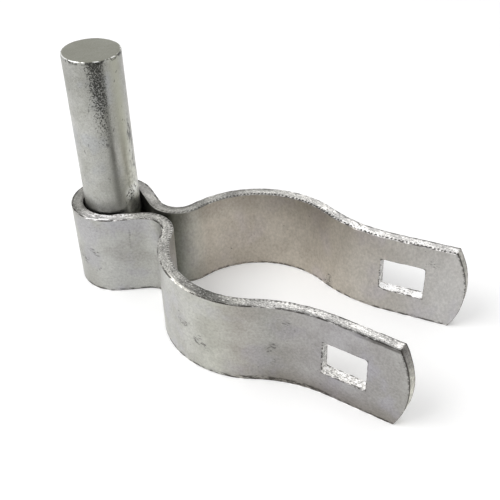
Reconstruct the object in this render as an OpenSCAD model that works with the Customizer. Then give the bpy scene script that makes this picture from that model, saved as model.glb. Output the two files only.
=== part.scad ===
// Male chain link gate hinge: a flat steel strap bent round a straight pin and shaped to clasp a gate post.
// The origin is on the pin's axis at the strap's lower edge. +X runs from the pin towards the bolt ears,
// +Y is across the strap and +Z is up along the pin. All sizes are in millimetres and angles in degrees.

/* [Strap] */
// Width of the flat bar, which stands upright
strap_width = 25.4; // [20:0.1:40]
// Thickness of the flat bar, 10 gauge
strap_thick = 3.416; // [2.6:0.05:4.5]
// Length from the back of the pocket to the tips of the ears
overall_length = 114.3; // [110:0.1:125]

/* [Pin] */
// Diameter of the pin
pin_dia = 15.875; // [12:0.1:20]
// Length of the pin, which starts at the strap's lower edge
pin_length = 71.4; // [60:0.1:120]
// Chamfer round each end of the pin
pin_chamfer = 0.45; // [0.3:0.05:1.5]

/* [Pocket and neck] */
// Radial room between the pin and the pocket's wall
pin_clearance = 0.6; // [0.56:0.02:0.9]
// Length of the straight webs that run from the pocket to the neck
web_length = 7.7; // [5:0.1:10]
// Gap between the webs' ends at the neck
neck_gap = 1.5; // [1:0.1:3]
// Inside radius of the bend on each side of the neck
neck_radius = 5.9; // [4:0.1:8]

/* [Post seat] */
// Diameter of the post that the arms clasp
post_dia = 47.625; // [44:0.1:52]

/* [Bolt ears] */
// Distance over the outer faces of the ears at their tips
ear_spread = 46.04; // [44:0.1:50]
// Outward lean of each ear
ear_flare = 5; // [2:0.5:7]
// Inside radius of the bend from the arm into the ear
ear_radius = 40; // [30:0.5:45]
// Radius of the rounded tip of each ear
tip_radius = 25.4; // [22:0.1:40]
// Length of the bolt hole along the ear
hole_length = 12.7; // [10:0.1:15]
// Height of the bolt hole, which keeps a square bolt neck from turning
hole_height = 10.4; // [8:0.1:12]
// Radius in the corners of the bolt hole
hole_corner = 0.8; // [0.4:0.1:1.5]
// Distance from the tip of the ear back to the middle of its bolt hole
hole_setback = 18; // [15:0.1:21]

/* [Hidden] */
$fn = 96;

// How far a cut runs past the metal that it goes through
overcut = 2;
// Bite of one face's curve into the next where the two are tangent, so that they cross cleanly
graze = 0.001;

// Radii of the strap's inner faces, where it curls round the pin, the neck, the post and the ear's bend
pocket_inner = pin_dia / 2 + pin_clearance;
neck_outer = neck_radius + strap_thick;
seat_inner = post_dia / 2;
ear_outer = ear_radius + strap_thick;

// The neck bend is centred outside the strap, where its web leaves the pocket at a tangent
neck_y = neck_gap / 2 + neck_outer;
neck_x = sqrt(pow(pocket_inner + neck_outer, 2) + pow(web_length, 2) - pow(neck_y, 2));
wrap_angle = atan2(neck_y, neck_x) + atan2(web_length, pocket_inner + neck_outer);

// The post seat follows the neck at a tangent too, which sets the post's axis
post_x = neck_x + sqrt(pow(seat_inner + neck_outer, 2) - pow(neck_y, 2));

// The ear's tip, halfway through its thickness
tip_x = overall_length - pocket_inner - strap_thick - strap_thick / 2 * sin(ear_flare);
tip_y = ear_spread / 2 - strap_thick / 2 * cos(ear_flare);

// The arm dips past the seat's widest point until the ear's bend brings it out to the tip
ear_middle = ear_radius + strap_thick / 2;
bend_reach = seat_inner + ear_outer;
dip_cosine = (tip_y * cos(ear_flare) + ear_middle - (tip_x - post_x) * sin(ear_flare)) / bend_reach;
dip_angle = acos(dip_cosine) - ear_flare;
bend_x = post_x + bend_reach * sin(dip_angle);
bend_y = bend_reach * cos(dip_angle);
ear_length = (tip_x - bend_x - ear_middle * sin(ear_flare)) / cos(ear_flare);

// A direction in the plane of the strap's outline
function heading(angle) = [cos(angle), sin(angle)];

// A list of points followed by its mirror image across the X axis
function both_sides(points) =
    concat(points, [for (i = [len(points) - 1 : -1 : 0]) [points[i][0], -points[i][1]]]);

// Outline from pocket to post seat, bounded by the webs
module waist(skin) {
    web_start = (pocket_inner + skin - graze) * heading(wrap_angle);
    neck = [neck_x, neck_y];
    web_end = neck - (neck_outer - skin) * heading(wrap_angle);
    polygon(both_sides([[0, 0], web_start, web_end, neck, [post_x, 0]]));
}

// Outline from post seat to ears, which runs past their tips
module mouth(skin, past_tip) {
    bend = [bend_x, bend_y];
    ear_start = bend - (ear_outer - skin) * heading(90 + ear_flare);
    ear_end = ear_start + (ear_length + past_tip) * heading(ear_flare);
    polygon(both_sides([[post_x, 0], bend, ear_start, ear_end]));
}

// Everything inside the strap's inner face, or inside its outer face when skin is the bar's thickness
module enclosed(skin, past_edge, past_tip) {
    height = strap_width + 2 * past_edge;
    translate([0, 0, -past_edge])
        difference() {
            union() {
                cylinder(r = pocket_inner + skin, h = height);
                linear_extrude(height) waist(skin);
                translate([post_x, 0, 0]) cylinder(r = seat_inner + skin, h = height);
                linear_extrude(height) mouth(skin, past_tip);
            }
            for (side = [-1, 1])
                translate([0, 0, -overcut]) {
                    translate([neck_x, side * neck_y, 0])
                        cylinder(r = neck_outer - skin + graze, h = height + 2 * overcut);
                    translate([bend_x, side * bend_y, 0])
                        cylinder(r = ear_outer - skin + graze, h = height + 2 * overcut);
                }
        }
}

// Punch for a bolt hole, an oblong with small corner radii
module bolt_punch() {
    flat_x = hole_length / 2 - hole_corner;
    flat_z = hole_height / 2 - hole_corner;
    translate([ear_length - hole_setback, strap_thick + overcut, strap_width / 2])
        rotate([90, 0, 0])
            linear_extrude(strap_thick + 2 * overcut) {
                square([hole_length, 2 * flat_z], center = true);
                square([2 * flat_x, hole_height], center = true);
                for (x = [-flat_x, flat_x], z = [-flat_z, flat_z])
                    translate([x, z])
                        circle(hole_corner);
            }
}

// Waste beyond the rounded tip of an ear
module tip_trim() {
    centre = ear_length - tip_radius;
    difference() {
        translate([centre, -overcut, -overcut])
            cube([tip_radius + 2 * overcut, strap_thick + 2 * overcut, strap_width + 2 * overcut]);
        translate([centre, -2 * overcut, strap_width / 2])
            rotate([-90, 0, 0])
                cylinder(r = tip_radius, h = strap_thick + 4 * overcut);
    }
}

// Cuts made in an ear, in the frame of its inner face from the end of its bend
module ear_cuts() {
    translate([bend_x, bend_y, 0])
        rotate([0, 0, ear_flare])
            translate([0, -ear_outer, 0]) {
                bolt_punch();
                tip_trim();
            }
}

// The strap in one piece: pocket, webs, neck, post seat and ears
module strap() {
    color("#b3b1a8")
        difference() {
            enclosed(strap_thick, 0, overcut);
            enclosed(0, overcut, 2 * overcut);
            ear_cuts();
            mirror([0, 1, 0]) ear_cuts();
        }
}

// Straight round pin with both ends chamfered
module pin() {
    color("#b9b9b4")
        rotate_extrude()
            polygon([
                [0, 0],
                [pin_dia / 2 - pin_chamfer, 0],
                [pin_dia / 2, pin_chamfer],
                [pin_dia / 2, pin_length - pin_chamfer],
                [pin_dia / 2 - pin_chamfer, pin_length],
                [0, pin_length]
            ]);
}

strap();
pin();
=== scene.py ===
import math

import bmesh
import bpy
from mathutils import Matrix, Vector, noise


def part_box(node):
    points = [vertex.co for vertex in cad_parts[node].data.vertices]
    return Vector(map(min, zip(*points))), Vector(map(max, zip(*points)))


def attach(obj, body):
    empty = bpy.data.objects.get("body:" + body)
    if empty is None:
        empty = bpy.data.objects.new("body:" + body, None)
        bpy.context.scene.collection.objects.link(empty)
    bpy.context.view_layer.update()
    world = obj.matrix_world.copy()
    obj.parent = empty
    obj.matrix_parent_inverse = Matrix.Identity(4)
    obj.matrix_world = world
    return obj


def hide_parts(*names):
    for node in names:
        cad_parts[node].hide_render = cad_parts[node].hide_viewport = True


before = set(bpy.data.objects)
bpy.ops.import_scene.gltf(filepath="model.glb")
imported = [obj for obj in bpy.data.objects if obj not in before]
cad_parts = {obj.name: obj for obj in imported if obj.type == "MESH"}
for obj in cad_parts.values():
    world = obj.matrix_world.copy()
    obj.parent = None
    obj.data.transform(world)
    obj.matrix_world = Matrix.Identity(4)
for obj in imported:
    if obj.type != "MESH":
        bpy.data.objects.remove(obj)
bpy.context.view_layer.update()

print("frame loaded")

strapLow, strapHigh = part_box("strap")
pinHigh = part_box("pin")[1]
barWidth = strapHigh[2] - strapLow[2]
tiny = 1e-9  # a length or a curvature below this counts as nothing


# Strap: a flat blank is laid out as a grid, its ends rounded and its bolt holes punched, then it is bent to shape

strapShape = {
    "thickness": 0.003416,  # 10 gauge
    "neckGap": 0.0015,
    "neckRadius": 0.0059,
    "webLength": 0.0077,
    "earRadius": 0.040,
    "earSpread": 0.04604,  # over the tips of the ears
    "earFlare": math.radians(5),
    "tipRadius": 0.0254,
    "holeLength": 0.0127,
    "holeHeight": 0.0104,
    "holeCorner": 0.0008,
    "holeSetback": 0.018,
    "columnStep": 0.0006,
    "rowStep": 0.0014,
    "layers": 4,  # rows of faces across the sheared edge
    "supportReach": 2.5,  # the rows beside an edge stand off by this many times its rounding
    "sharpFrom": math.radians(50),
    "edgeRounding": 0.00026,
    "roundingSteps": 3,
    "edgeBand": 0.02,  # share of the bar's width that counts as its lower or its upper edge
    "onFace": 1e-7,  # a point no deeper than this lies on a rolled face
    "faceDents": (0.009, 0.00007),  # size and depth
    "shearDents": (0.0011, 0.00018),
    "shearDrawn": 3.0,  # the torn metal's dents are this much longer along the bar
    "footTears": (0.0016, 0.0003),  # the lower edge is torn a little deeper
    "nicks": {  # along the bar (near arm negative), height, reach along and depth of each nick in a sheared edge
        "pocketLip": (-0.0285, "top", 0.0016, 0.0005),
        "pocketFoot": (-0.0280, "foot", 0.0040, 0.0005),
        "farArm": (0.0990, "top", 0.0009, 0.0006),
        "nearTip": (-0.1265, "top", 0.0015, 0.0003),
    },
}
thick = strapShape["thickness"]


def atFoot(height):
    return height < barWidth * strapShape["edgeBand"]


def nickDepth(place):
    deep = 0.0
    for spot, side, reach, depth in strapShape["nicks"].values():
        if atFoot(barWidth - place.z if side == "top" else place.z):
            deep += depth * math.exp(-((place.x - spot) / reach) ** 2)
    return deep


def dented(place, size, depth):
    return depth * (0.5 + 0.5 * noise.noise(place / size))


def bendSteps():
    # The strap's half from the back of the pocket to an ear's tip: length along the bar's middle and turn to the left
    flare = strapShape["earFlare"]
    web = strapShape["webLength"]
    pocketInner = -strapLow[0] - thick
    seatInner = strapHigh[1] - thick
    neckOuter = strapShape["neckRadius"] + thick
    earOuter = strapShape["earRadius"] + thick
    earMiddle = strapShape["earRadius"] + thick / 2

    neckY = strapShape["neckGap"] / 2 + neckOuter
    neckX = math.sqrt((pocketInner + neckOuter) ** 2 + web ** 2 - neckY ** 2)
    wrap = math.atan2(neckY, neckX) + math.atan2(web, pocketInner + neckOuter)
    postX = neckX + math.sqrt((seatInner + neckOuter) ** 2 - neckY ** 2)
    seatStart = math.atan2(neckY, neckX - postX)

    tipX = strapHigh[0] - thick / 2 * math.sin(flare)
    tipY = strapShape["earSpread"] / 2 - thick / 2 * math.cos(flare)
    reach = seatInner + earOuter
    rise = tipY * math.cos(flare) + earMiddle - (tipX - postX) * math.sin(flare)
    dip = math.acos(rise / reach) - flare
    bendX = postX + reach * math.sin(dip)
    earLength = (tipX - bendX - earMiddle * math.sin(flare)) / math.cos(flare)

    def turned(radius, angle):
        return (radius * abs(angle), angle)

    return [
        turned(pocketInner + thick / 2, wrap - math.pi),
        (web, 0.0),
        turned(strapShape["neckRadius"] + thick / 2, seatStart - wrap),
        turned(seatInner + thick / 2, -(seatStart - math.pi / 2 + dip)),
        turned(earMiddle, dip + flare),
        (earLength, 0.0),
    ]


def layOutBends(steps):
    # Where each step starts along the bar and in plan, with its heading and curvature
    starts = []
    along, x, y, heading = 0.0, strapLow[0] + thick / 2, 0.0, math.pi / 2
    for length, turn in steps:
        starts.append((along, x, y, heading, turn / length))
        x, y, heading = walk(x, y, heading, turn / length, length)
        along += length
    return starts, along


def walk(x, y, heading, curve, distance):
    if abs(curve) < tiny:
        return x + distance * math.cos(heading), y + distance * math.sin(heading), heading
    end = heading + curve * distance
    return x + (math.sin(end) - math.sin(heading)) / curve, y - (math.cos(end) - math.cos(heading)) / curve, end


bends, halfLength = layOutBends(bendSteps())


def bent(point):
    # Blank coordinates are distance along the bar, depth from its inner face, and height
    side = 1 if point.x >= 0 else -1
    distance = abs(point.x)
    start = [b for b in bends if b[0] <= distance + tiny][-1]
    x, y, heading = walk(*start[1:4], start[4], distance - start[0])
    offset = point.y - thick / 2
    return Vector((x - offset * math.sin(heading), side * (y + offset * math.cos(heading)), point.z))


def spaced(marks, step):
    # The marks, with even stops put between them so that none is further apart than the step
    stops = [marks[0]]
    for a, b in zip(marks, marks[1:]):
        count = max(1, math.ceil((b - a) / step - tiny))
        stops += [a + (b - a) * k / count for k in range(1, count + 1)]
    return stops


def makeBlank():
    corner = strapShape["holeCorner"]
    holeMiddle = halfLength - strapShape["holeSetback"]
    holeStart, holeEnd = holeMiddle - strapShape["holeLength"] / 2, holeMiddle + strapShape["holeLength"] / 2
    holeFloor, holeTop = (barWidth - strapShape["holeHeight"]) / 2, (barWidth + strapShape["holeHeight"]) / 2
    tipStart = holeEnd + 2 * corner
    supportRow = strapShape["supportReach"] * strapShape["edgeRounding"]

    def withCorners(low, high):
        bite = corner * (1 - math.sqrt(0.5))
        return [low, low + bite, low + corner, high - corner, high - bite, high]

    half = spaced([0.0] + withCorners(holeStart, holeEnd) + [tipStart, halfLength - supportRow, halfLength],
                  strapShape["columnStep"])
    columns = [-s for s in reversed(half[1:])] + half
    rows = spaced([0.0, supportRow] + withCorners(holeFloor, holeTop) + [barWidth - supportRow, barWidth],
                  strapShape["rowStep"])
    layers = strapShape["layers"]
    tipCentre = halfLength - strapShape["tipRadius"]

    def flatPlace(s, z):
        side, distance = (1, s) if s >= 0 else (-1, -s)
        if distance > tipStart:  # the last columns bow out to the rounded tip
            end = tipCentre + math.sqrt(strapShape["tipRadius"] ** 2 - (z - barWidth / 2) ** 2)
            distance = tipStart + (distance - tipStart) * (end - tipStart) / (halfLength - tipStart)
        inLength = holeStart - tiny <= distance <= holeEnd + tiny
        if inLength and holeFloor - tiny <= z <= holeTop + tiny:  # the hole's outline is drawn in round its corners
            cx = min(max(distance, holeStart + corner), holeEnd - corner)
            cz = min(max(z, holeFloor + corner), holeTop - corner)
            dx, dz = distance - cx, z - cz
            reach = math.hypot(dx, dz)
            if reach > corner:
                distance, z = cx + dx * corner / reach, cz + dz * corner / reach
        return side * distance, z

    def punched(i, j):
        s = abs(columns[i] + columns[i + 1]) / 2
        z = (rows[j] + rows[j + 1]) / 2
        return holeStart < s < holeEnd and holeFloor < z < holeTop

    blank = bmesh.new()
    made = {}

    def corner3d(i, j, k):
        if (i, j, k) not in made:
            s, z = flatPlace(columns[i], rows[j])
            made[i, j, k] = blank.verts.new((s, thick * k / layers, z))
        return made[i, j, k]

    lastI, lastJ = len(columns) - 1, len(rows) - 1

    def solid(i, j):
        return 0 <= i < lastI and 0 <= j < lastJ and not punched(i, j)

    for i in range(lastI):
        for j in range(lastJ):
            if punched(i, j):
                continue
            cell = [(i, j), (i + 1, j), (i + 1, j + 1), (i, j + 1)]
            blank.faces.new([corner3d(a, b, 0) for a, b in cell])
            blank.faces.new([corner3d(a, b, layers) for a, b in reversed(cell)])
            beside = [(i, j - 1), (i + 1, j), (i, j + 1), (i - 1, j)]
            for n, other in enumerate(beside):
                if solid(*other):
                    continue
                a, b = cell[n], cell[(n + 1) % 4]
                for k in range(layers):
                    blank.faces.new([corner3d(*b, k), corner3d(*a, k), corner3d(*a, k + 1), corner3d(*b, k + 1)])

    bmesh.ops.recalc_face_normals(blank, faces=blank.faces)
    sharp = [e for e in blank.edges if len(e.link_faces) == 2 and e.calc_face_angle(0) > strapShape["sharpFrom"]]
    bmesh.ops.bevel(blank, geom=sharp, offset=strapShape["edgeRounding"], segments=strapShape["roundingSteps"],
                    profile=0.5, affect="EDGES", clamp_overlap=True)
    return blank


def placed(name, data):
    thing = bpy.data.objects.new(name, data)
    bpy.context.scene.collection.objects.link(thing)
    return thing


def finished(name, body):
    for face in body.faces:
        face.smooth = True
    mesh = bpy.data.meshes.new(name)
    body.to_mesh(mesh)
    body.free()
    return placed(name, mesh)


def makeStrap():
    blank = makeBlank()
    blank.normal_update()
    sheared = blank.verts.layers.float.new("sheared")  # 1 on the sheared and punched faces
    burr = blank.verts.layers.float.new("burr")  # 1 on the rounding between a sheared face and a rolled one
    inner = blank.verts.layers.float.new("inner")  # 1 on the face that lies against the post
    blankPlace = blank.verts.layers.float_vector.new("blankPlace")  # where the metal was before it was bent
    moves = []
    for v in blank.verts:
        depth = min(v.co.y, thick - v.co.y)
        rolled = depth < strapShape["onFace"]
        v[sheared] = 0.0 if rolled else 1.0
        v[burr] = 1.0 if strapShape["onFace"] < depth < strapShape["edgeRounding"] * 0.95 else 0.0
        v[inner] = 1.0 if v.co.y < thick / 2 else 0.0
        v[blankPlace] = v.co
        if rolled:
            dent = dented(v.co, *strapShape["faceDents"])
        else:
            size, deep = strapShape["shearDents"]
            spot = Vector((v.co.x / strapShape["shearDrawn"], v.co.y, v.co.z)) / size
            dent = deep * abs(noise.noise(spot)) + nickDepth(v.co) * abs(v.normal.z)
            if atFoot(v.co.z):
                size, deep = strapShape["footTears"]
                dent += deep * max(0.0, noise.noise(Vector((v.co.x, 0, 1)) / size)) * abs(v.normal.z)
        moves.append((v, v.co - v.normal * dent))
    for v, place in moves:
        v.co = bent(place)
    piece = finished("bentStrap", blank)
    piece.modifiers.new("evenNormals", "WEIGHTED_NORMAL")
    return piece


bentStrap = makeStrap()
print("strap bent:", len(bentStrap.data.polygons), "faces")


# Pin: turned as a lathe profile, with a softened rim and a zinc run near the pocket

pinShape = {
    "segments": 144,
    "rowStep": 0.0011,
    "capRings": 14,
    "rimRounding": 0.00045,
    "rimSteps": 4,
    "capFrom": 0.9,  # how level the surface is where an end begins
    "rimSlopes": (0.4, 0.97),
    "barrelDents": (0.006, 0.00005),  # size and depth
    "capDents": (0.0016, 0.00009),
    "runTurn": math.radians(-2),  # a run of zinc stands proud just above the strap, on the side of the arms
    "runHeight": 0.0300,
    "runReach": (0.0031, 0.0028),
    "runProud": 0.00028,
    "runLumps": 0.0011,
}


def pinProfile():
    radius, height, rim = pinHigh[0], pinHigh[2], pinShape["rimRounding"]
    rings = pinShape["capRings"]
    cap = [(radius - rim) * k / rings for k in range(1, rings + 1)]
    steps = pinShape["rimSteps"]
    quarter = [math.pi / 2 * k / steps for k in range(1, steps)]
    profile = [(r, 0.0) for r in cap]
    profile += [(radius - rim + rim * math.sin(a), rim - rim * math.cos(a)) for a in quarter]
    profile += [(radius, z) for z in spaced([rim, height - rim], pinShape["rowStep"])]
    profile += [(radius - rim + rim * math.cos(a), height - rim + rim * math.sin(a)) for a in quarter]
    profile += [(r, height) for r in reversed(cap)]
    return profile


def makePin():
    profile = pinProfile()
    count = pinShape["segments"]
    body = bmesh.new()
    capped = body.verts.layers.float.new("sheared")
    rim = body.verts.layers.float.new("rim")
    zincRun = body.verts.layers.float.new("zincRun")
    rings = []
    for r, z in profile:
        rings.append([body.verts.new((r * math.cos(a), r * math.sin(a), z))
                      for a in (2 * math.pi * n / count for n in range(count))])
    foot = body.verts.new((0, 0, 0))
    crown = body.verts.new((0, 0, pinHigh[2]))
    for low, high in zip(rings, rings[1:]):
        for n in range(count):
            m = (n + 1) % count
            body.faces.new([low[n], low[m], high[m], high[n]])
    for n in range(count):
        m = (n + 1) % count
        body.faces.new([foot, rings[0][m], rings[0][n]])
        body.faces.new([crown, rings[-1][n], rings[-1][m]])
    bmesh.ops.recalc_face_normals(body, faces=body.faces)
    body.normal_update()
    moves = []
    wide, tall = pinShape["runReach"]
    steepest, flattest = pinShape["rimSlopes"]
    for v in body.verts:
        level = abs(v.normal.z)  # 1 where the surface lies level, 0 where it stands upright
        onCap = level > pinShape["capFrom"]
        v[capped] = 1.0 if onCap else 0.0
        v[rim] = 1.0 if steepest < level < flattest and v.co.z > pinHigh[2] / 2 else 0.0
        across = (math.atan2(v.co.y, v.co.x) - pinShape["runTurn"]) * pinHigh[0] / wide
        up = (v.co.z - pinShape["runHeight"]) / tall
        lump = max(0.0, 1 - across ** 2 - up ** 2) * (0.7 + 0.6 * noise.noise(v.co / pinShape["runLumps"]))
        v[zincRun] = min(1.0, 2.5 * lump)
        dent = dented(v.co, *pinShape["capDents" if onCap else "barrelDents"]) - pinShape["runProud"] * lump
        moves.append((v, v.co - v.normal * dent))
    for v, place in moves:
        v.co = place
    return finished("hingePin", body)


hingePin = makePin()
print("pin turned:", len(hingePin.data.polygons), "faces")

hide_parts("strap")
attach(bentStrap, "root")
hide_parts("pin")
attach(hingePin, "root")


# Finishes: small helpers to place nodes, then the effects as node groups, then one material for each piece

def isSocket(value):
    return isinstance(value, bpy.types.NodeSocket)


def wire(start, end):
    end.id_data.links.new(start, end)


def put(kind, wires, tree=None, **settings):
    # The node goes into the tree that its wires come from, unless one is given
    tree = tree or next(value.id_data for value in wires.values() if isSocket(value))
    node = tree.nodes.new("ShaderNode" + kind)
    for name, value in settings.items():
        setattr(node, name, value)
    for name, value in wires.items():
        if isSocket(value):
            wire(value, node.inputs[name])
        else:
            node.inputs[name].default_value = value
    return node


def sums(operation, a, b=0.0, c=0.0):
    return put("Math", {0: a, 1: b, 2: c}, operation=operation).outputs[0]


def times(a, b):
    return sums("MULTIPLY", a, b)


def plus(a, b):
    return sums("ADD", a, b)


def minus(a, b):
    return sums("SUBTRACT", a, b)


def fused(a, b, c):
    # a times b, plus c
    return sums("MULTIPLY_ADD", a, b, c)


def larger(a, b):
    return sums("MAXIMUM", a, b)


def scaled(colour, gain):
    return put("VectorMath", {0: colour, "Scale": gain}, operation="SCALE").outputs[0]


def stretched(place, factors):
    return put("VectorMath", {0: place, 1: factors}, operation="MULTIPLY").outputs[0]


def marked(tree, name):
    return put("Attribute", {}, tree, attribute_name=name).outputs["Fac"]


def apart(a, b):
    return sums("ABSOLUTE", minus(a, b))


def ramped(value, low, high, start=0.0, end=1.0, way="SMOOTHSTEP"):
    # Rise from start to end while the value goes from low to high
    return put("MapRange", {"Value": value, "From Min": low, "From Max": high, "To Min": start, "To Max": end},
               interpolation_type=way).outputs[0]


def evenly(value, low, high, start=0.0, end=1.0):
    return ramped(value, low, high, start, end, "LINEAR")


def blended(share, a, b):
    return evenly(share, 0.0, 1.0, a, b)


def mixed(factor, a, b, blend="MIX"):
    return put("Mix", {0: factor, 6: a, 7: b}, data_type="RGBA", blend_type=blend, clamp_factor=True).outputs[2]


def noised(place, scale, detail=2.0, roughness=0.5):
    return put("TexNoise", {"Vector": place, "Scale": scale, "Detail": detail, "Roughness": roughness}).outputs


def grain(place, size, detail=2.0, roughness=0.5):
    # Noise whose lumps are about the size given, in metres
    return noised(place, 1.0 / size, detail, roughness)["Fac"]


def effect(name, inputs, outputs):
    group = bpy.data.node_groups.new(name, "ShaderNodeTree")
    for way, sockets in (("INPUT", inputs), ("OUTPUT", outputs)):
        for label, kind in sockets.items():
            group.interface.new_socket(name=label, in_out=way, socket_type="NodeSocket" + kind)
    return group, group.nodes.new("NodeGroupInput").outputs, group.nodes.new("NodeGroupOutput").inputs


def used(group, wires):
    return put("Group", wires, node_tree=group).outputs


def swung(colour, speckle, strength):
    # The colour made lighter and darker by a noise that keeps to either side of a half
    swing = times(minus(speckle, 0.5), strength)
    return scaled(colour, fused(swing, 4.0, 1.0))


def makeZincSkin():
    # Zinc coat: broad patches of three tones with a fine mottle over them
    group, given, result = effect("zincSkin", {
        "Place": "Vector", "Patch Scale": "Float", "Mottle Scale": "Float", "Light": "Color", "Dark": "Color",
        "Cool": "Color", "Mottle": "Float", "Dull": "Float", "Sheen": "Float",
    }, {"Color": "Color", "Roughness": "Float", "Height": "Float"})
    broad = noised(given["Place"], given["Patch Scale"], 3.0)
    fine = noised(given["Place"], given["Mottle Scale"], 4.0, 0.65)["Fac"]
    patches = ramped(broad["Fac"], 0.38, 0.62)
    cool = ramped(put("SeparateColor", {0: broad["Color"]}).outputs["Blue"], 0.5, 0.66)
    tone = mixed(patches, given["Dark"], given["Light"])
    tone = mixed(cool, tone, given["Cool"])
    wire(swung(tone, fine, given["Mottle"]), result["Color"])
    wire(evenly(broad["Fac"], 0.3, 0.7, given["Dull"], given["Sheen"]), result["Roughness"])
    wire(fused(fine, 0.35, broad["Fac"]), result["Height"])
    return group


def makePits():
    # Scattered small pits: a few cells of a grid hold one each, in loose clusters
    group, given, result = effect("darkPits", {
        "Place": "Vector", "Scale": "Float", "Radius": "Float", "Amount": "Float",
    }, {"Mask": "Float"})
    wander = scaled(noised(given["Place"], 1600.0, 1.0)["Color"], 0.0011)
    ragged = put("VectorMath", {0: given["Place"], 1: wander}).outputs[0]
    cells = put("TexVoronoi", {"Vector": ragged, "Scale": given["Scale"]}).outputs
    pick = put("SeparateColor", {0: cells["Color"]}).outputs
    cluster = noised(given["Place"], 55.0, 1.0)["Fac"]
    chance = times(given["Amount"], ramped(cluster, 0.42, 0.68))
    chosen = sums("LESS_THAN", pick["Red"], chance)
    reach = times(given["Radius"], plus(pick["Green"], 0.35))
    inside = evenly(cells["Distance"], reach, 0.0, 0.0, 1.6)
    wire(sums("MINIMUM", times(chosen, inside), 1.0), result["Mask"])
    return group


def makeShearGrain():
    # Torn metal left by the shear: fine drawn-out grain with a few bright and dark flecks
    group, given, result = effect("shearGrain", {
        "Drawn Place": "Vector", "Place": "Vector", "Scale": "Float", "Tone": "Color", "Dark": "Color",
        "Bright": "Color", "Contrast": "Float",
    }, {"Color": "Color", "Height": "Float"})
    streaks = noised(given["Drawn Place"], given["Scale"], 2.0, 0.7)["Fac"]
    flecks = noised(given["Place"], given["Scale"], 1.0)["Fac"]
    torn = plus(times(streaks, 0.6), times(flecks, 0.4))
    colour = swung(given["Tone"], torn, given["Contrast"])
    bright = times(ramped(torn, 0.56, 0.66), given["Contrast"])
    dark = times(ramped(torn, 0.42, 0.34), given["Contrast"])
    colour = mixed(bright, colour, given["Bright"])
    colour = mixed(dark, colour, given["Dark"])
    wire(colour, result["Color"])
    wire(torn, result["Height"])
    return group


zincSkin, darkPits, shearGrain = makeZincSkin(), makePits(), makeShearGrain()
print("shared effects made")

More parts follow.
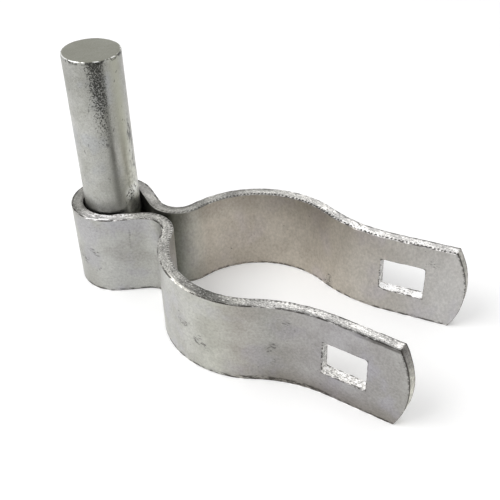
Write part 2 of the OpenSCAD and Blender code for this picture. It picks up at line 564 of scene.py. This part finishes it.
barFinish = {
    "outerZincAndPaintedLight": {  # zinc on the outer face, its tone along the bar partly painted light and shade: distance along the bar from the back of the pocket, and colour
        "back": (0.0, (0.41, 0.41, 0.385)),
        "cheek": (0.0160, (0.45, 0.45, 0.425)),
        "side": (0.0230, (0.40, 0.40, 0.385)),
        "neck": (0.0310, (0.415, 0.415, 0.39)),
        "seatStart": (0.0540, (0.50, 0.50, 0.475)),
        "seatSide": (0.0680, (0.525, 0.525, 0.495)),
        "seatMiddle": (0.0780, (0.47, 0.47, 0.425)),
        "seatEnd": (0.0850, (0.395, 0.38, 0.35)),
        "bend": (0.0920, (0.345, 0.34, 0.32)),
        "bendEnd": (0.0990, (0.35, 0.34, 0.325)),
        "ear": (0.1120, (0.39, 0.38, 0.385)),
        "tip": (0.1310, (0.405, 0.40, 0.385)),
    },
    "darkPatch": (0.87, 0.86, 0.85, 1),  # against the coat's own colour
    "coolPatch": (0.93, 0.92, 0.98, 1),
    "innerZincAndPaintedShade": {  # zinc on the inner face, partly painted shade, darkest at the far neck: place along the bar (near arm negative) and colour
        "nearTip": (-0.1310, (0.53, 0.52, 0.495)),
        "nearBend": (-0.0920, (0.50, 0.47, 0.42)),
        "nearSeat": (-0.0600, (0.53, 0.51, 0.46)),
        "nearNeck": (-0.0450, (0.60, 0.60, 0.55)),
        "back": (0.0, (0.42, 0.42, 0.40)),
        "farNeck": (0.0390, (0.33, 0.335, 0.305)),
        "farNeckEnd": (0.0415, (0.44, 0.43, 0.385)),
        "farSeat": (0.0470, (0.515, 0.475, 0.415)),
        "farBend": (0.0920, (0.51, 0.47, 0.41)),
        "farEar": (0.1050, (0.52, 0.495, 0.455)),
        "farHole": (0.1150, (0.545, 0.53, 0.505)),
        "farTip": (0.1240, (0.53, 0.52, 0.505)),
    },
    "skinScales": {"outer": (110.0, 1600.0, 0.36), "inner": (85.0, 1500.0, 0.38)},  # patches, mottle and sheen
    "topShade": (0.62, 1.0),  # painted shade: the inner face darkens between these shares of its height
    "topLevel": 0.84,
    "topShadeSpan": (0.095, 0.065),
    "earRise": (0.2, 1.0, 0.93, 1.13),  # painted light on the far ear's inner face: shares of its height and the gain at each
    "earRiseSpan": (0.096, 0.106),
    "earFoot": (0.68, 0.65, 0.61, 1),  # the outer face dulls towards its lower edge on the ears
    "earFootHeight": 0.0075,
    "earFootSpan": (0.085, 0.095),
    "shearDark": (0.07, 0.066, 0.06, 1),
    "shearBright": (0.92, 0.92, 0.90, 1),
    "topFace": (0.9, 0.98),  # shares of the bar's width from which metal counts as its top
    "shearStretch": 0.35,
    "shearScale": 2600.0,
    "shearCloud": 0.0021,
    "glintBlotch": 0.0010,
    "acrossEdge": {  # shares of the sheared edge's width, from its inner border, between which each thing comes in
        "glint": (0.70, 0.86),
        "outerShade": (0.45, 0.92),
        "beads": (0.0, 0.10),
        "beadsEnd": (0.32, 0.20),
        "nearDashes": (0.17, 0.08),
        "farDashes": (0.84, 0.92),
    },
    "shearTones": {  # brightness of the sheared edge: along the bar (near arm negative) and level
        "nearTip": (-0.1290, 0.80),
        "nearEar": (-0.0930, 0.74),
        "nearBend": (-0.0840, 0.38),
        "nearDull": (-0.0770, 0.12),
        "nearSeat": (-0.0660, 0.40),
        "nearNeck": (-0.0470, 0.48),
        "nearWeb": (-0.0290, 0.47),
        "nearLipEnd": (-0.0245, 0.94),
        "nearLip": (-0.0170, 1.0),
        "nearPocket": (-0.0110, 0.29),
        "pocketBack": (0.0, 0.40),
        "farPocket": (0.0100, 0.29),
        "farWeb": (0.0220, 0.62),
        "farWebEnd": (0.0300, 0.45),
        "farNeck": (0.0370, 0.34),
        "farSeat": (0.0580, 0.43),
        "farBend": (0.0800, 0.66),
        "farEar": (0.0960, 0.80),
        "farTip": (0.1290, 0.84),
    },
    "seatGlint": (-0.0695, 0.0110, 2.2),  # painted highlight along the outer rim of the sheared edge: along the bar, reach and gain
    # painted shade on a bolt hole's walls and painted light on its floor
    "holeHead": (0.85, 0.80),  # a bolt hole's walls and floor: shares of the bar's width
    "holeFloor": (0.34, 0.31, 0.75, 1.3),  # with the gain on its walls and on its floor
    "holeReach": (0.008, 0.009),  # from the tip
    "shearContrast": {  # how strongly the shear's grain shows, along the bar
        "nearEar": (-0.0980, 0.80),
        "nearBend": (-0.0880, 0.72),
        "nearDull": (-0.0770, 0.70),
        "nearSeat": (-0.0640, 0.66),
        "nearSeatStart": (-0.0540, 0.54),
        "nearNeck": (-0.0440, 0.66),
        "nearWeb": (-0.0330, 0.70),
        "nearLip": (-0.0200, 0.72),
        "nearPocket": (-0.0090, 0.34),
        "farPocket": (0.0200, 0.34),
        "farNeck": (0.0370, 0.36),
        "farSeat": (0.0500, 0.60),
        "farBend": (0.0800, 0.74),
        "farEar": (0.0960, 0.80),
    },
    "beadRow": {  # how strongly a row of dark beads shows along the inner border of the sheared edge
        "nearTip": (-0.1290, 0.15),
        "nearEar": (-0.1040, 0.25),
        "nearBend": (-0.0950, 0.70),
        "nearDull": (-0.0800, 0.35),
        "nearSeat": (-0.0640, 0.30),
        "nearSeatStart": (-0.0560, 0.60),
        "nearNeck": (-0.0400, 0.70),
        "nearLip": (-0.0200, 0.30),
        "nearPocket": (-0.0100, 0.15),
        "farPocket": (0.0250, 0.15),
        "farNeck": (0.0400, 0.60),
        "farSeat": (0.0550, 0.85),
        "farEar": (0.0800, 1.00),
        "farTip": (0.1290, 0.85),
    },
    "beadStep": 0.0011,
    "outerShade": {  # brightness of the outer border of the sheared edge against its middle
        "nearTip": (-0.1290, 0.30),
        "nearEar": (-0.1020, 0.38),
        "nearEarStart": (-0.0970, 0.62),
        "nearBend": (-0.0840, 0.62),
        "nearDull": (-0.0760, 1.0),
        "farSeat": (0.0600, 1.0),
        "farEar": (0.0900, 0.85),
    },
    "borderDashes": {"near": (-0.086, -0.098, 0.0, 0.85), "far": (0.084, 0.094, 0.0, 0.7)},
    "dashStep": 0.0006,
    "tipTone": (0.56, 0.55, 0.485, 1),
    "farTipTone": (0.375, 0.365, 0.33, 1),
    "tipTop": (0.12, 0.11, 0.10, 1),  # the near tip is stained at its top corner
    "tipStain": (0.55, 0.97),  # shares of its height
    "tipFace": (0.0040, 0.0034),  # from the tip
    "tipMottle": 0.0013,
    "armSide": 0.1,  # the two tips' own tones are reached this far along
    "burrDark": (0.045, 0.04, 0.035, 1),
    "burrDash": 0.0007,
    "burrFade": 0.35,  # share of the dark line that the strap's inner border keeps
    "burrSpans": {"far": (0.060, 0.080, 0.0, 1.0), "near": (-0.085, -0.100, 0.0, 0.8)},  # it keeps more of it here
    "burrTip": (0.0045, 0.0035, 0.0, 0.10),
    "stainedCorner": (0.020, 0.008, 0.0008, 0.0002),  # distances from the near tip and from the top
    "rimReach": 0.0005,  # how far the broken dark line round a hole or tip spreads over the face
    "rimTip": (0.006, 0.005),
    "rimHeights": (0.4, 0.6),
    "webDashes": (-0.0300, 0.0200, 0.05),  # the outer border is dashed the most here: along the bar, reach and gain
    "footLine": (0.0011, 0.0004),  # heights between which a broken dark line runs over the lower edge
    "footLineRise": (-0.0950, 0.0200, 0.0007),  # the line reaches higher here: along the bar, reach and rise
    "pitDark": (0.12, 0.115, 0.11, 1),
    "pits": (900.0, 0.32, 0.09),  # how many to a metre, radius and share of places that hold one
    "scuffs": {  # marks in the zinc: along the bar (near arm negative), height and reach
        "cheekTop": (-0.0162, 0.0225, 0.0012),
        "cheek": (-0.0165, 0.0140, 0.0011),
        "cheekLow": (-0.0172, 0.0075, 0.0009),
        "pocketBack": (-0.0115, 0.0100, 0.0016),
        "seatUpper": (-0.0693, 0.0137, 0.0017),
        "seatLower": (-0.0742, 0.0093, 0.0017),
        "bendUpper": (-0.0970, 0.0205, 0.0017),
        "bendMiddle": (-0.0938, 0.0120, 0.0014),
        "bendLow": (-0.0940, 0.0067, 0.0010),
        "farHole": (0.1222, 0.0195, 0.0011),
        "farCorner": (0.0905, 0.0030, 0.0016),
    },
    "scuffReach": (2.5, 0.7),  # a group fades between these times its reach
    "scuffPull": 0.14,
    "scuffEdges": (0.61, 0.69),
    "smudge": 0.06,
    "spatterSize": 0.00055,
    "spatterDrag": (0.5, 1, 1.2),
    "clumpSize": 0.0022,
    "scratch": (-0.0268, 0.0150, 0.0225),  # a fine upright line: along the bar, lowest and highest point
    "scratchWidth": (0.00040, 0.00005),
    "scratchFade": 0.001,
    "scratchWander": (0.004, 0.0012),
    "lipGlint": (-0.0195, 0.0085, 1.28, 0.84, 0.42),  # painted highlight on the pocket lip: along the bar, reach, gain at either border and blotches
    # painted highlight on the inner border of the dull stretch
    "dullGlint": (-0.0810, 0.0080, 1.45, 1.0, 0.15),
    "bump": (0.45, 0.00025),  # strength and depth
}


def pitMask(place, settings):
    scale, radius, amount = settings
    return used(darkPits, {"Place": place, "Scale": scale, "Radius": radius, "Amount": amount})["Mask"]


def usingNodes(name):
    material = bpy.data.materials.new(name)
    material.use_nodes = True
    tree = material.node_tree
    return material, tree, tree.nodes["Principled BSDF"].inputs


def barSkin(place, zincAndPaintedLight, name):
    patch, mottle, sheen = barFinish["skinScales"][name]
    return used(zincSkin, {"Place": place, "Patch Scale": patch, "Mottle Scale": mottle, "Light": zincAndPaintedLight,
                           "Dark": mixed(1.0, zincAndPaintedLight, barFinish["darkPatch"], "MULTIPLY"),
                           "Cool": mixed(1.0, zincAndPaintedLight, barFinish["coolPatch"], "MULTIPLY"),
                           "Mottle": 0.20, "Dull": 0.50, "Sheen": sheen})


def makeBarFinish():
    material, tree, shader = usingNodes("galvanisedBar")
    place = put("TexCoord", {}, tree).outputs["Object"]
    sheared = marked(tree, "sheared")
    burr = marked(tree, "burr")
    inner = marked(tree, "inner")
    flat = put("Attribute", {}, tree, attribute_name="blankPlace").outputs["Vector"]
    laid = put("SeparateXYZ", {0: flat}).outputs  # along the bar, depth and height before it was bent
    along = sums("ABSOLUTE", laid["X"])
    drawn = stretched(flat, (barFinish["shearStretch"], 1, 1))

    # The outer zinc, with painted light and shade along the bar
    outerSkin = barSkin(place, alongRamp(along, 0.0, barFinish["outerZincAndPaintedLight"]), "outer")
    earFoot = times(ramped(laid["Z"], barFinish["earFootHeight"], 0.0), ramped(along, *barFinish["earFootSpan"]))
    outerColour = mixed(earFoot, outerSkin["Color"], barFinish["earFoot"], "MULTIPLY")

    liningAndShade = alongRamp(laid["X"], -halfLength, barFinish["innerZincAndPaintedShade"])
    innerSkin = barSkin(stretched(place, (1, 1, 0.7)), liningAndShade, "inner")
    # Painted shade towards the top of the inner face
    innerTop = times(upBar(laid, "topShade"), ramped(along, *barFinish["topShadeSpan"]))
    # Painted light: the far ear's inner face brightens towards its top
    earRise = upBar(laid, "earRise")
    earRise = blended(ramped(laid["X"], *barFinish["earRiseSpan"]), 1.0, earRise)
    innerGain = times(ramped(innerTop, 0.0, 1.0, 1.0, barFinish["topLevel"]), earRise)
    colour = mixed(inner, outerColour, scaled(innerSkin["Color"], innerGain))

    marks = scuffMarks(flat, laid, place)
    colour = mixed(times(marks, 0.8), colour, barFinish["pitDark"])
    torn = shearedMetal(flat, laid, along, drawn, place)
    colour = mixed(sheared, colour, torn["Color"])

    rough = grain(drawn, barFinish["burrDash"], 3.0, 0.6)
    edgeLine = borderLines(laid, along, rough, burr, sheared)
    rims = rimLines(laid, along, rough)
    edgeLine = larger(edgeLine, times(rims, minus(1.0, sheared)))
    wire(mixed(edgeLine, colour, barFinish["burrDark"]), shader["Base Color"])
    wire(larger(times(sheared, 0.78), outerSkin["Roughness"]), shader["Roughness"])
    shader["Metallic"].default_value = 1.0

    height = plus(times(outerSkin["Height"], 0.7), times(torn["Height"], times(sheared, 1.6)))
    raisedBy(shader, minus(height, marks), *barFinish["bump"])
    return material


def raisedBy(shader, height, strength, distance):
    bump = put("Bump", {"Strength": strength, "Distance": distance, "Height": height})
    wire(bump.outputs["Normal"], shader["Normal"])


def borderLines(laid, along, rough, burr, sheared):
    # Broken dark lines in the rounding of the sheared edges, the near tip's dark corner and a broken dark line over
    # the lower edge
    outwards = ramped(laid["Y"], 0.0, thick, barFinish["burrFade"], 1.0)
    for span in barFinish["burrSpans"].values():
        outwards = larger(outwards, ramped(laid["X"], *span))
    spot, reach, gain = barFinish["webDashes"]
    dashShare = blended(nearPlace(laid, spot, reach), 0.0, gain)
    atTip = beforeTip(along, "burrTip")
    broken = ramped(plus(plus(rough, dashShare), atTip), 0.46, 0.55)
    edgeLine = times(times(ramped(burr, 0.25, 0.75), broken), outwards)
    far, near, low, high = barFinish["stainedCorner"]
    ragged = fused(rough, low, laid["Z"])
    corner = times(ramped(laid["X"], far - halfLength, near - halfLength),
                   ramped(ragged, barWidth - low, barWidth - high))
    edgeLine = larger(edgeLine, times(corner, minus(0.85, sheared)))
    spot, reach, rise = barFinish["footLineRise"]
    lowered = minus(laid["Z"], blended(nearPlace(laid, spot, reach), 0.0, rise))
    footLine = times(ramped(lowered, *barFinish["footLine"]), ramped(rough, 0.42, 0.56))
    return times(larger(edgeLine, footLine), 0.85)


def rimLines(laid, along, rough):
    # Broken dark lines on the rolled faces, round the bolt holes and along the upper half of the tips
    fromHole = apart(along, halfLength - strapShape["holeSetback"])
    fromHole = minus(fromHole, strapShape["holeLength"] / 2)
    fromMiddle = apart(laid["Z"], barWidth / 2)
    outside = larger(fromHole, minus(fromMiddle, strapShape["holeHeight"] / 2))
    atHole = ramped(outside, barFinish["rimReach"], 0.0, 0.0, 0.75)
    onward = minus(along, halfLength - strapShape["tipRadius"])
    radius = sums("SQRT", fused(onward, onward, times(fromMiddle, fromMiddle)))
    atTip = ramped(radius, strapShape["tipRadius"] - barFinish["rimReach"] * 1.6, strapShape["tipRadius"])
    atTip = times(times(atTip, upBar(laid, "rimHeights")), beforeTip(along, "rimTip"))
    return times(larger(atHole, atTip), ramped(rough, 0.44, 0.56))


def alongRamp(value, low, zones):
    # Colour that changes along the bar through the zones, which hold a place and a colour each
    ramp = put("ValToRGB", {0: evenly(value, low, halfLength)})
    stops = ramp.color_ramp.elements
    places = sorted(zones.values())
    stops[0].position = (places[0][0] - low) / (halfLength - low)
    stops[0].color = (*places[0][1], 1)
    stops[1].position = (places[-1][0] - low) / (halfLength - low)
    stops[1].color = (*places[-1][1], 1)
    for spot, colour in places[1:-1]:
        stops.new((spot - low) / (halfLength - low)).color = (*colour, 1)
    return ramp.outputs[0]


def levelAlong(laid, name):
    zones = {zone: (spot, (level, level, level)) for zone, (spot, level) in barFinish[name].items()}
    return alongRamp(laid["X"], -halfLength, zones)


def nearPlace(laid, spot, reach):
    # 1 at the spot along the bar, falling to 0 at its reach
    return ramped(apart(laid["X"], spot), reach, reach * 0.3)


def upBar(laid, name):
    # A rise between two shares of the bar's width
    low, high, *levels = barFinish[name]
    return ramped(laid["Z"], barWidth * low, barWidth * high, *levels)


def beforeTip(along, name):
    # A rise between two distances from the tips
    far, near, *levels = barFinish[name]
    return ramped(along, halfLength - far, halfLength - near, *levels)


def shearedMetal(flat, laid, along, drawn, place):
    # The tone changes along the bar, a row of dark beads follows the inner border, and near the ears dark dashes
    # follow both borders
    def across(name):
        return ramped(depth, *barFinish["acrossEdge"][name])

    zones = {name: (spot, (level, level * 0.985, level * (0.90 + 0.08 * level)))  # dull metal is browner
             for name, (spot, level) in barFinish["shearTones"].items()}
    tone = alongRamp(laid["X"], -halfLength, zones)
    contrast = levelAlong(laid, "shearContrast")
    depth = sums("DIVIDE", laid["Y"], thick)
    gain = ramped(grain(drawn, barFinish["shearCloud"]), 0.35, 0.65, 0.78, 1.22)
    # Painted highlights: a glint along the seat's outer rim and brighter blotches on the pocket lip and the dull
    # stretch
    spot, reach, most = barFinish["seatGlint"]
    glint = times(nearPlace(laid, spot, reach), across("glint"))
    gain = times(gain, ramped(glint, 0.0, 1.0, 1.0, most))
    blotches = grain(drawn, barFinish["glintBlotch"], 1.0)
    for name in ("lipGlint", "dullGlint"):
        spot, reach, inside, outside, blotch = barFinish[name]
        patchy = times(ramped(depth, 0.1, 0.9, inside, outside),
                       ramped(blotches, 0.40, 0.60, 1.0 - blotch, 1.0 + blotch))
        gain = times(gain, blended(nearPlace(laid, spot, reach), 1.0, patchy))
    upper = upBar(laid, "topFace")
    atBorder = times(across("outerShade"), upper)
    gain = times(gain, blended(atBorder, 1.0, levelAlong(laid, "outerShade")))
    # Painted shade on the bolt holes' walls and painted light on their floors
    inHole = times(upBar(laid, "holeHead"), beforeTip(along, "holeReach"))
    holePaintedLight = upBar(laid, "holeFloor")
    tone = scaled(tone, times(gain, blended(inHole, 1.0, holePaintedLight)))
    torn = used(shearGrain, {"Drawn Place": drawn, "Place": place, "Scale": barFinish["shearScale"], "Tone": tone,
                             "Dark": barFinish["shearDark"], "Bright": barFinish["shearBright"],
                             "Contrast": contrast})

    jitter = grain(drawn, barFinish["dashStep"])
    turn = fused(laid["X"], 2 * math.pi / barFinish["beadStep"], times(jitter, 9.0))
    beads = ramped(sums("SINE", turn), -0.5, 0.5)
    rows = times(times(across("beads"), across("beadsEnd")), beads)
    rows = times(rows, levelAlong(laid, "beadRow"))
    colour = mixed(times(rows, upper), torn["Color"], barFinish["shearDark"])
    near, far = (times(across(side + "Dashes"), ramped(laid["X"], *span))
                 for side, span in barFinish["borderDashes"].items())
    borders = times(larger(near, far), times(ramped(jitter, 0.44, 0.54), upper))
    colour = mixed(borders, colour, barFinish["shearDark"])

    tip = beforeTip(along, "tipFace")
    side = barFinish["armSide"]
    stained = times(upBar(laid, "tipStain"), ramped(laid["X"], 0.0, -side))
    tipTone = mixed(ramped(laid["X"], -side, side), barFinish["tipTone"], barFinish["farTipTone"])
    tipTone = mixed(stained, tipTone, barFinish["tipTop"])
    mottle = ramped(grain(flat, barFinish["tipMottle"], 3.0, 0.6), 0.38, 0.62, 0.72, 1.22)
    colour = mixed(times(tip, 0.8), colour, scaled(tipTone, mottle))
    return {"Color": colour, "Height": torn["Height"]}


def scuffMarks(flat, laid, place):
    # Stray pits all over, close groups of them where the bar was knocked, and one fine scratch
    marks = times(pitMask(stretched(flat, (1, 1, 1.1)), barFinish["pits"]), 0.7)
    spatter = grain(stretched(flat, barFinish["spatterDrag"]), barFinish["spatterSize"], 2.0, 0.6)
    clumps = minus(grain(flat, barFinish["clumpSize"], 1.0), 0.5)
    outer = ramped(laid["Y"], 0.0, thick)
    inside = minus(1.0, outer)  # the near arm is marked outside and the far arm inside
    for spot, height, reach in barFinish["scuffs"].values():
        across = minus(laid["X"], spot)
        up = minus(laid["Z"], height)
        far = sums("SQRT", fused(across, across, times(up, up)))
        far = fused(clumps, reach * 5, fused(spatter, reach, far))
        near = ramped(far, *(reach * share for share in barFinish["scuffReach"]))
        near = times(near, outer if spot < 0 else inside)
        group = ramped(fused(near, barFinish["scuffPull"], spatter), *barFinish["scuffEdges"])
        marks = larger(marks, times(near, larger(group, barFinish["smudge"])))
    size, swing = barFinish["scratchWander"]
    wander = times(minus(grain(place, size, 1.0), 0.5), swing)
    spot, low, high = barFinish["scratch"]
    across = apart(plus(laid["X"], wander), spot)
    line = times(ramped(across, *barFinish["scratchWidth"]), outer)
    line = times(line, ramped(laid["Z"], low, low + barFinish["scratchFade"]))
    line = times(line, ramped(laid["Z"], high, high - barFinish["scratchFade"]))
    marks = larger(marks, times(line, ramped(spatter, 0.35, 0.60, 0.1, 0.5)))
    return marks


pinFinish = {
    "light": (0.43, 0.43, 0.407, 1),
    "dark": (0.37, 0.37, 0.34, 1),
    "cool": (0.395, 0.40, 0.397, 1),
    "capTone": (0.232, 0.232, 0.19, 1),
    # painted highlight along the rim
    "rimHighlight": (0.78, 0.78, 0.76, 1),
    "bands": {  # round the pin, in degrees: bearing of the middle, and reach to the left and to the right of it
        "olive": (-6, 24, 24),
        # painted dark reflection: a streak up the pin, its darker core and its speckled top
        "streak": (-37, 56, 11),
        "core": (-37, 11, 8.8),
        "flecks": (-46, 38, 27),
        "scuffs": (14, 20, 20),
        "paintedLight": (3, 38, 50),  # painted light: a lighter stretch above the strap, on the side of the arms
    },
    # tones of the painted dark reflection; the dark tone also paints the shadow under the rim
    "darkReflectionTone": (0.20, 0.20, 0.178, 1),
    "reflectionCoreTone": (0.10, 0.10, 0.09, 1),
    "darkReflectionFoot": (0.058, 0.045, 0.42, 0.52),  # heights on the pin and the painted reflection's strength at each
    "darkReflectionHead": (0.054, 0.064, 0.0, 0.20),
    "reflectionCoreSpan": (0.036, 0.050, 0.30, 0.5),
    "reflectionFleckSpan": (0.036, 0.068),
    "paintedDarkTone": (0.03, 0.03, 0.027, 1),
    "speckleSize": 0.00042,
    "sparkleSize": 0.00036,
    "oliveTone": (0.43, 0.43, 0.355, 1),
    "scuffSpan": (0.030, 0.036, 0.050, 0.058),
    "scuffSize": 0.0008,
    "pits": (800.0, 0.36, 0.25),  # how many to a metre, radius and share of places that hold one
    "pitDark": (0.08, 0.08, 0.075, 1),
    "pocketShade": 0.45,  # painted shade: the coat darkens where the pin goes into the strap
    "pocketSpan": (0.007, -0.001),  # heights over the strap
    "pocketFront": (math.radians(-28), math.radians(-55)),
    "pocketBack": (math.radians(-175), math.radians(-120)),
    # painted shade: the pin darkens towards its top
    "headShade": (0.052, 0.068, 1.0, 0.84),
    "shadowUnderRim": (0.0011, 0.0006),  # painted shadow under the rim: heights below the pin's top
    "rimHighlightBreakSize": 0.0012,
    "rimDashes": 0.0010,
    "paintedLightSpan": (0.052, 0.030),
    "paintedLightTone": (0.68, 0.68, 0.61, 1),
    "paintedLightPatch": 0.0011,
    # painted highlight on the zinc run
    "runHighlight": (0.80, 0.80, 0.76, 1),
    "runPatch": 0.0007,
    "bump": (0.35, 0.0002),
}


def bandRound(around, name):
    # 1 at the band's bearing, falling to 0 over its reach on each side
    centre, left, right = (math.radians(angle) for angle in pinFinish["bands"][name])
    away = minus(around, centre)
    return times(ramped(away, -left, 0.0), ramped(away, right, 0.0))


def makePinFinish():
    material, tree, shader = usingNodes("galvanisedPin")
    place = put("TexCoord", {}, tree).outputs["Object"]
    cap = marked(tree, "sheared")
    rim = marked(tree, "rim")
    run = marked(tree, "zincRun")
    parts = put("SeparateXYZ", {0: place}).outputs
    around = sums("ARCTAN2", parts["Y"], parts["X"])
    upright = stretched(place, (1, 1, 0.4))

    def upPin(name):
        return ramped(parts["Z"], *pinFinish[name])

    def toned(share, strength, tone):
        return mixed(times(share, strength), colour, pinFinish[tone])

    skin = used(zincSkin, {"Place": place, "Patch Scale": 130.0, "Mottle Scale": 2100.0, "Light": pinFinish["light"],
                           "Dark": pinFinish["dark"], "Cool": pinFinish["cool"], "Mottle": 0.25, "Dull": 0.46,
                           "Sheen": 0.30})
    colour = skin["Color"]
    colour = toned(bandRound(around, "olive"), 0.8, "oliveTone")
    # Painted dark reflection: a streak up the pin with a darker core
    colour = toned(bandRound(around, "streak"), plus(upPin("darkReflectionFoot"), upPin("darkReflectionHead")), "darkReflectionTone")
    colour = toned(bandRound(around, "core"), upPin("reflectionCoreSpan"), "reflectionCoreTone")

    # The painted reflection's top is speckled with dark flecks and light sparkle
    share = times(bandRound(around, "flecks"), upPin("reflectionFleckSpan"))
    speckle = grain(place, pinFinish["speckleSize"], 2.0, 0.6)
    level = minus(0.78, times(share, 0.42))
    flecked = ramped(minus(speckle, level), -0.10, 0.10)
    colour = toned(flecked, 0.9, "paintedDarkTone")
    sparkle = ramped(grain(place, pinFinish["sparkleSize"], 1.0), 0.56, 0.66, 0.0, 0.65)
    colour = toned(sparkle, share, "light")

    foot, low, high, head = pinFinish["scuffSpan"]
    scuffed = times(ramped(parts["Z"], foot, low), ramped(parts["Z"], head, high))
    scuffed = times(bandRound(around, "scuffs"), scuffed)
    scuffs = ramped(plus(grain(upright, pinFinish["scuffSize"]), times(scuffed, 0.19)), 0.68, 0.74)
    colour = toned(scuffs, 0.8, "pitDark")
    pits = pitMask(upright, pinFinish["pits"])
    colour = toned(pits, 0.7, "pitDark")

    # Painted light: a patchy lighter stretch above the strap, on the side of the arms
    paintedLight = times(bandRound(around, "paintedLight"), upPin("paintedLightSpan"))
    patchy = ramped(grain(place, pinFinish["paintedLightPatch"], 2.0, 0.6), 0.38, 0.58, 0.25, 1.0)
    colour = toned(paintedLight, patchy, "paintedLightTone")
    # The zinc run: a painted highlight broken by dark stains
    stained = ramped(grain(place, pinFinish["runPatch"]), 0.54, 0.62)
    colour = mixed(run, colour, mixed(stained, pinFinish["runHighlight"], pinFinish["pitDark"]))
    # Painted shade where the pin goes into the strap, on one side of it
    leftSide = times(ramped(around, *pinFinish["pocketFront"]), ramped(around, *pinFinish["pocketBack"]))
    above, below = pinFinish["pocketSpan"]
    inPocket = times(ramped(parts["Z"], barWidth + above, barWidth + below), leftSide)
    shade = ramped(inPocket, 0.0, 1.0, 1.0, pinFinish["pocketShade"])
    # The painted shades go on here, and the pin darkens towards its top
    colour = scaled(colour, times(shade, upPin("headShade")))
    colour = mixed(cap, colour, mixed(ramped(speckle, 0.35, 0.65, 0.0, 0.25), pinFinish["capTone"],
                                      pinFinish["dark"]))
    # Painted highlight along the rim, broken by noise
    rimHighlightBreaks = ramped(grain(place, pinFinish["rimHighlightBreakSize"]), 0.44, 0.54)
    # Painted shadow: a broken dark line just under the rim
    low, high = pinFinish["shadowUnderRim"]
    shadowUnderRim = times(ramped(parts["Z"], pinHigh[2] - low, pinHigh[2] - high),
                     ramped(grain(place, pinFinish["rimDashes"]), 0.44, 0.56))
    colour = toned(shadowUnderRim, minus(0.8, cap), "paintedDarkTone")
    colour = toned(rim, rimHighlightBreaks, "rimHighlight")
    wire(colour, shader["Base Color"])
    wire(skin["Roughness"], shader["Roughness"])
    shader["Metallic"].default_value = 1.0

    height = plus(times(skin["Height"], 0.5), times(speckle, 0.5))
    height = minus(height, larger(pits, scuffs))
    raisedBy(shader, height, *pinFinish["bump"])
    return material


bentStrap.data.materials.append(makeBarFinish())
hingePin.data.materials.append(makePinFinish())
print("finishes made")


# Studio: a plain pale floor, soft light and the camera

studio = {
    "cameraPlace": (0.14055, -0.16463, 0.16313),
    "cameraTurn": 0.4782,  # round the vertical from looking along +Y
    "cameraTilt": 0.6691,  # down from level
    "cameraRoll": -0.0040,
    "focalPixels": 854.5,
    "frameSide": 500,
    "axisPixel": (280.0, 275.0),
    "sensorWidth": 36.0,
    "viewDepth": (0.01, 20),
    "floorSize": 12.0,
    "floorDrop": 0.00002,  # keeps the floor clear of the strap's lower edge
    "plainFloor": (0.35, 0.9),  # distances from the object between which the floor turns as white as the backdrop
    "floorLift": (0.16, 0.5),  # its own light near the object and far away
    "worldLevel": 0.75,
    "lampPower": 2.6,
    "lampSize": (0.5, 0.4),
    "lampPlace": (-0.25, -0.35, 0.6),
    "lampAim": (0.04, 0, 0.02),
}


def makeCamera():
    lens = bpy.data.cameras.new("photoView")
    side = studio["frameSide"]
    lens.sensor_width = studio["sensorWidth"]
    lens.lens = studio["focalPixels"] / side * lens.sensor_width
    lens.shift_x = (side / 2 - studio["axisPixel"][0]) / side
    lens.shift_y = (studio["axisPixel"][1] - side / 2) / side
    lens.clip_start, lens.clip_end = studio["viewDepth"]
    camera = placed("photoView", lens)
    turn, tilt, roll = studio["cameraTurn"], studio["cameraTilt"], studio["cameraRoll"]
    back = Vector((math.sin(turn) * math.cos(tilt), -math.cos(turn) * math.cos(tilt), math.sin(tilt)))
    level = Vector((math.cos(turn), math.sin(turn), 0))
    upright = level.cross(-back)
    right = level * math.cos(roll) + upright * math.sin(roll)
    up = upright * math.cos(roll) - level * math.sin(roll)
    camera.matrix_world = Matrix.Translation(studio["cameraPlace"]) @ Matrix((right, up, back)).transposed().to_4x4()
    bpy.context.scene.camera = camera


def seenDirectly(tree):
    # 1 for what the camera sees, straight or in metal or glass
    path = put("LightPath", {}, tree).outputs
    seen = larger(path["Is Camera Ray"], path["Is Glossy Ray"])
    return larger(seen, path["Is Transmission Ray"])


def makeFloor():
    half = studio["floorSize"] / 2
    mesh = bpy.data.meshes.new("floor")
    mesh.from_pydata([(-half, -half, 0), (half, -half, 0), (half, half, 0), (-half, half, 0)], [], [(0, 1, 2, 3)])
    floor = placed("floor", mesh)
    floor.location.z = -studio["floorDrop"]
    material, tree, shader = usingNodes("paleFloor")
    shader["Base Color"].default_value = (0.9, 0.9, 0.9, 1)
    shader["Roughness"].default_value = 0.9
    shader["Emission Color"].default_value = (1, 1, 1, 1)
    away = put("VectorMath", {0: put("TexCoord", {}, tree).outputs["Object"]}, operation="LENGTH").outputs["Value"]
    lift = ramped(away, *studio["plainFloor"], *studio["floorLift"])
    wire(times(seenDirectly(tree), lift), shader["Emission Strength"])
    floor.data.materials.append(material)


def lightStudio():
    world = bpy.data.worlds.new("studioWorld")
    bpy.context.scene.world = world
    world.use_nodes = True
    tree = world.node_tree
    background = tree.nodes["Background"]
    background.inputs["Color"].default_value = (1, 1, 1, 1)
    level = ramped(seenDirectly(tree), 0.0, 1.0, studio["worldLevel"], 1.0)
    wire(level, background.inputs["Strength"])
    lamp = bpy.data.lights.new("softBox", "AREA")
    lamp.shape = "RECTANGLE"
    lamp.size, lamp.size_y = studio["lampSize"]
    lamp.energy = studio["lampPower"]
    box = placed("softBox", lamp)
    box.location = studio["lampPlace"]
    aim = Vector(studio["lampAim"]) - box.location
    box.rotation_euler = aim.to_track_quat("-Z", "Y").to_euler()


makeCamera()
makeFloor()
lightStudio()
bpy.context.scene.view_settings.view_transform = "Standard"
print("studio set")
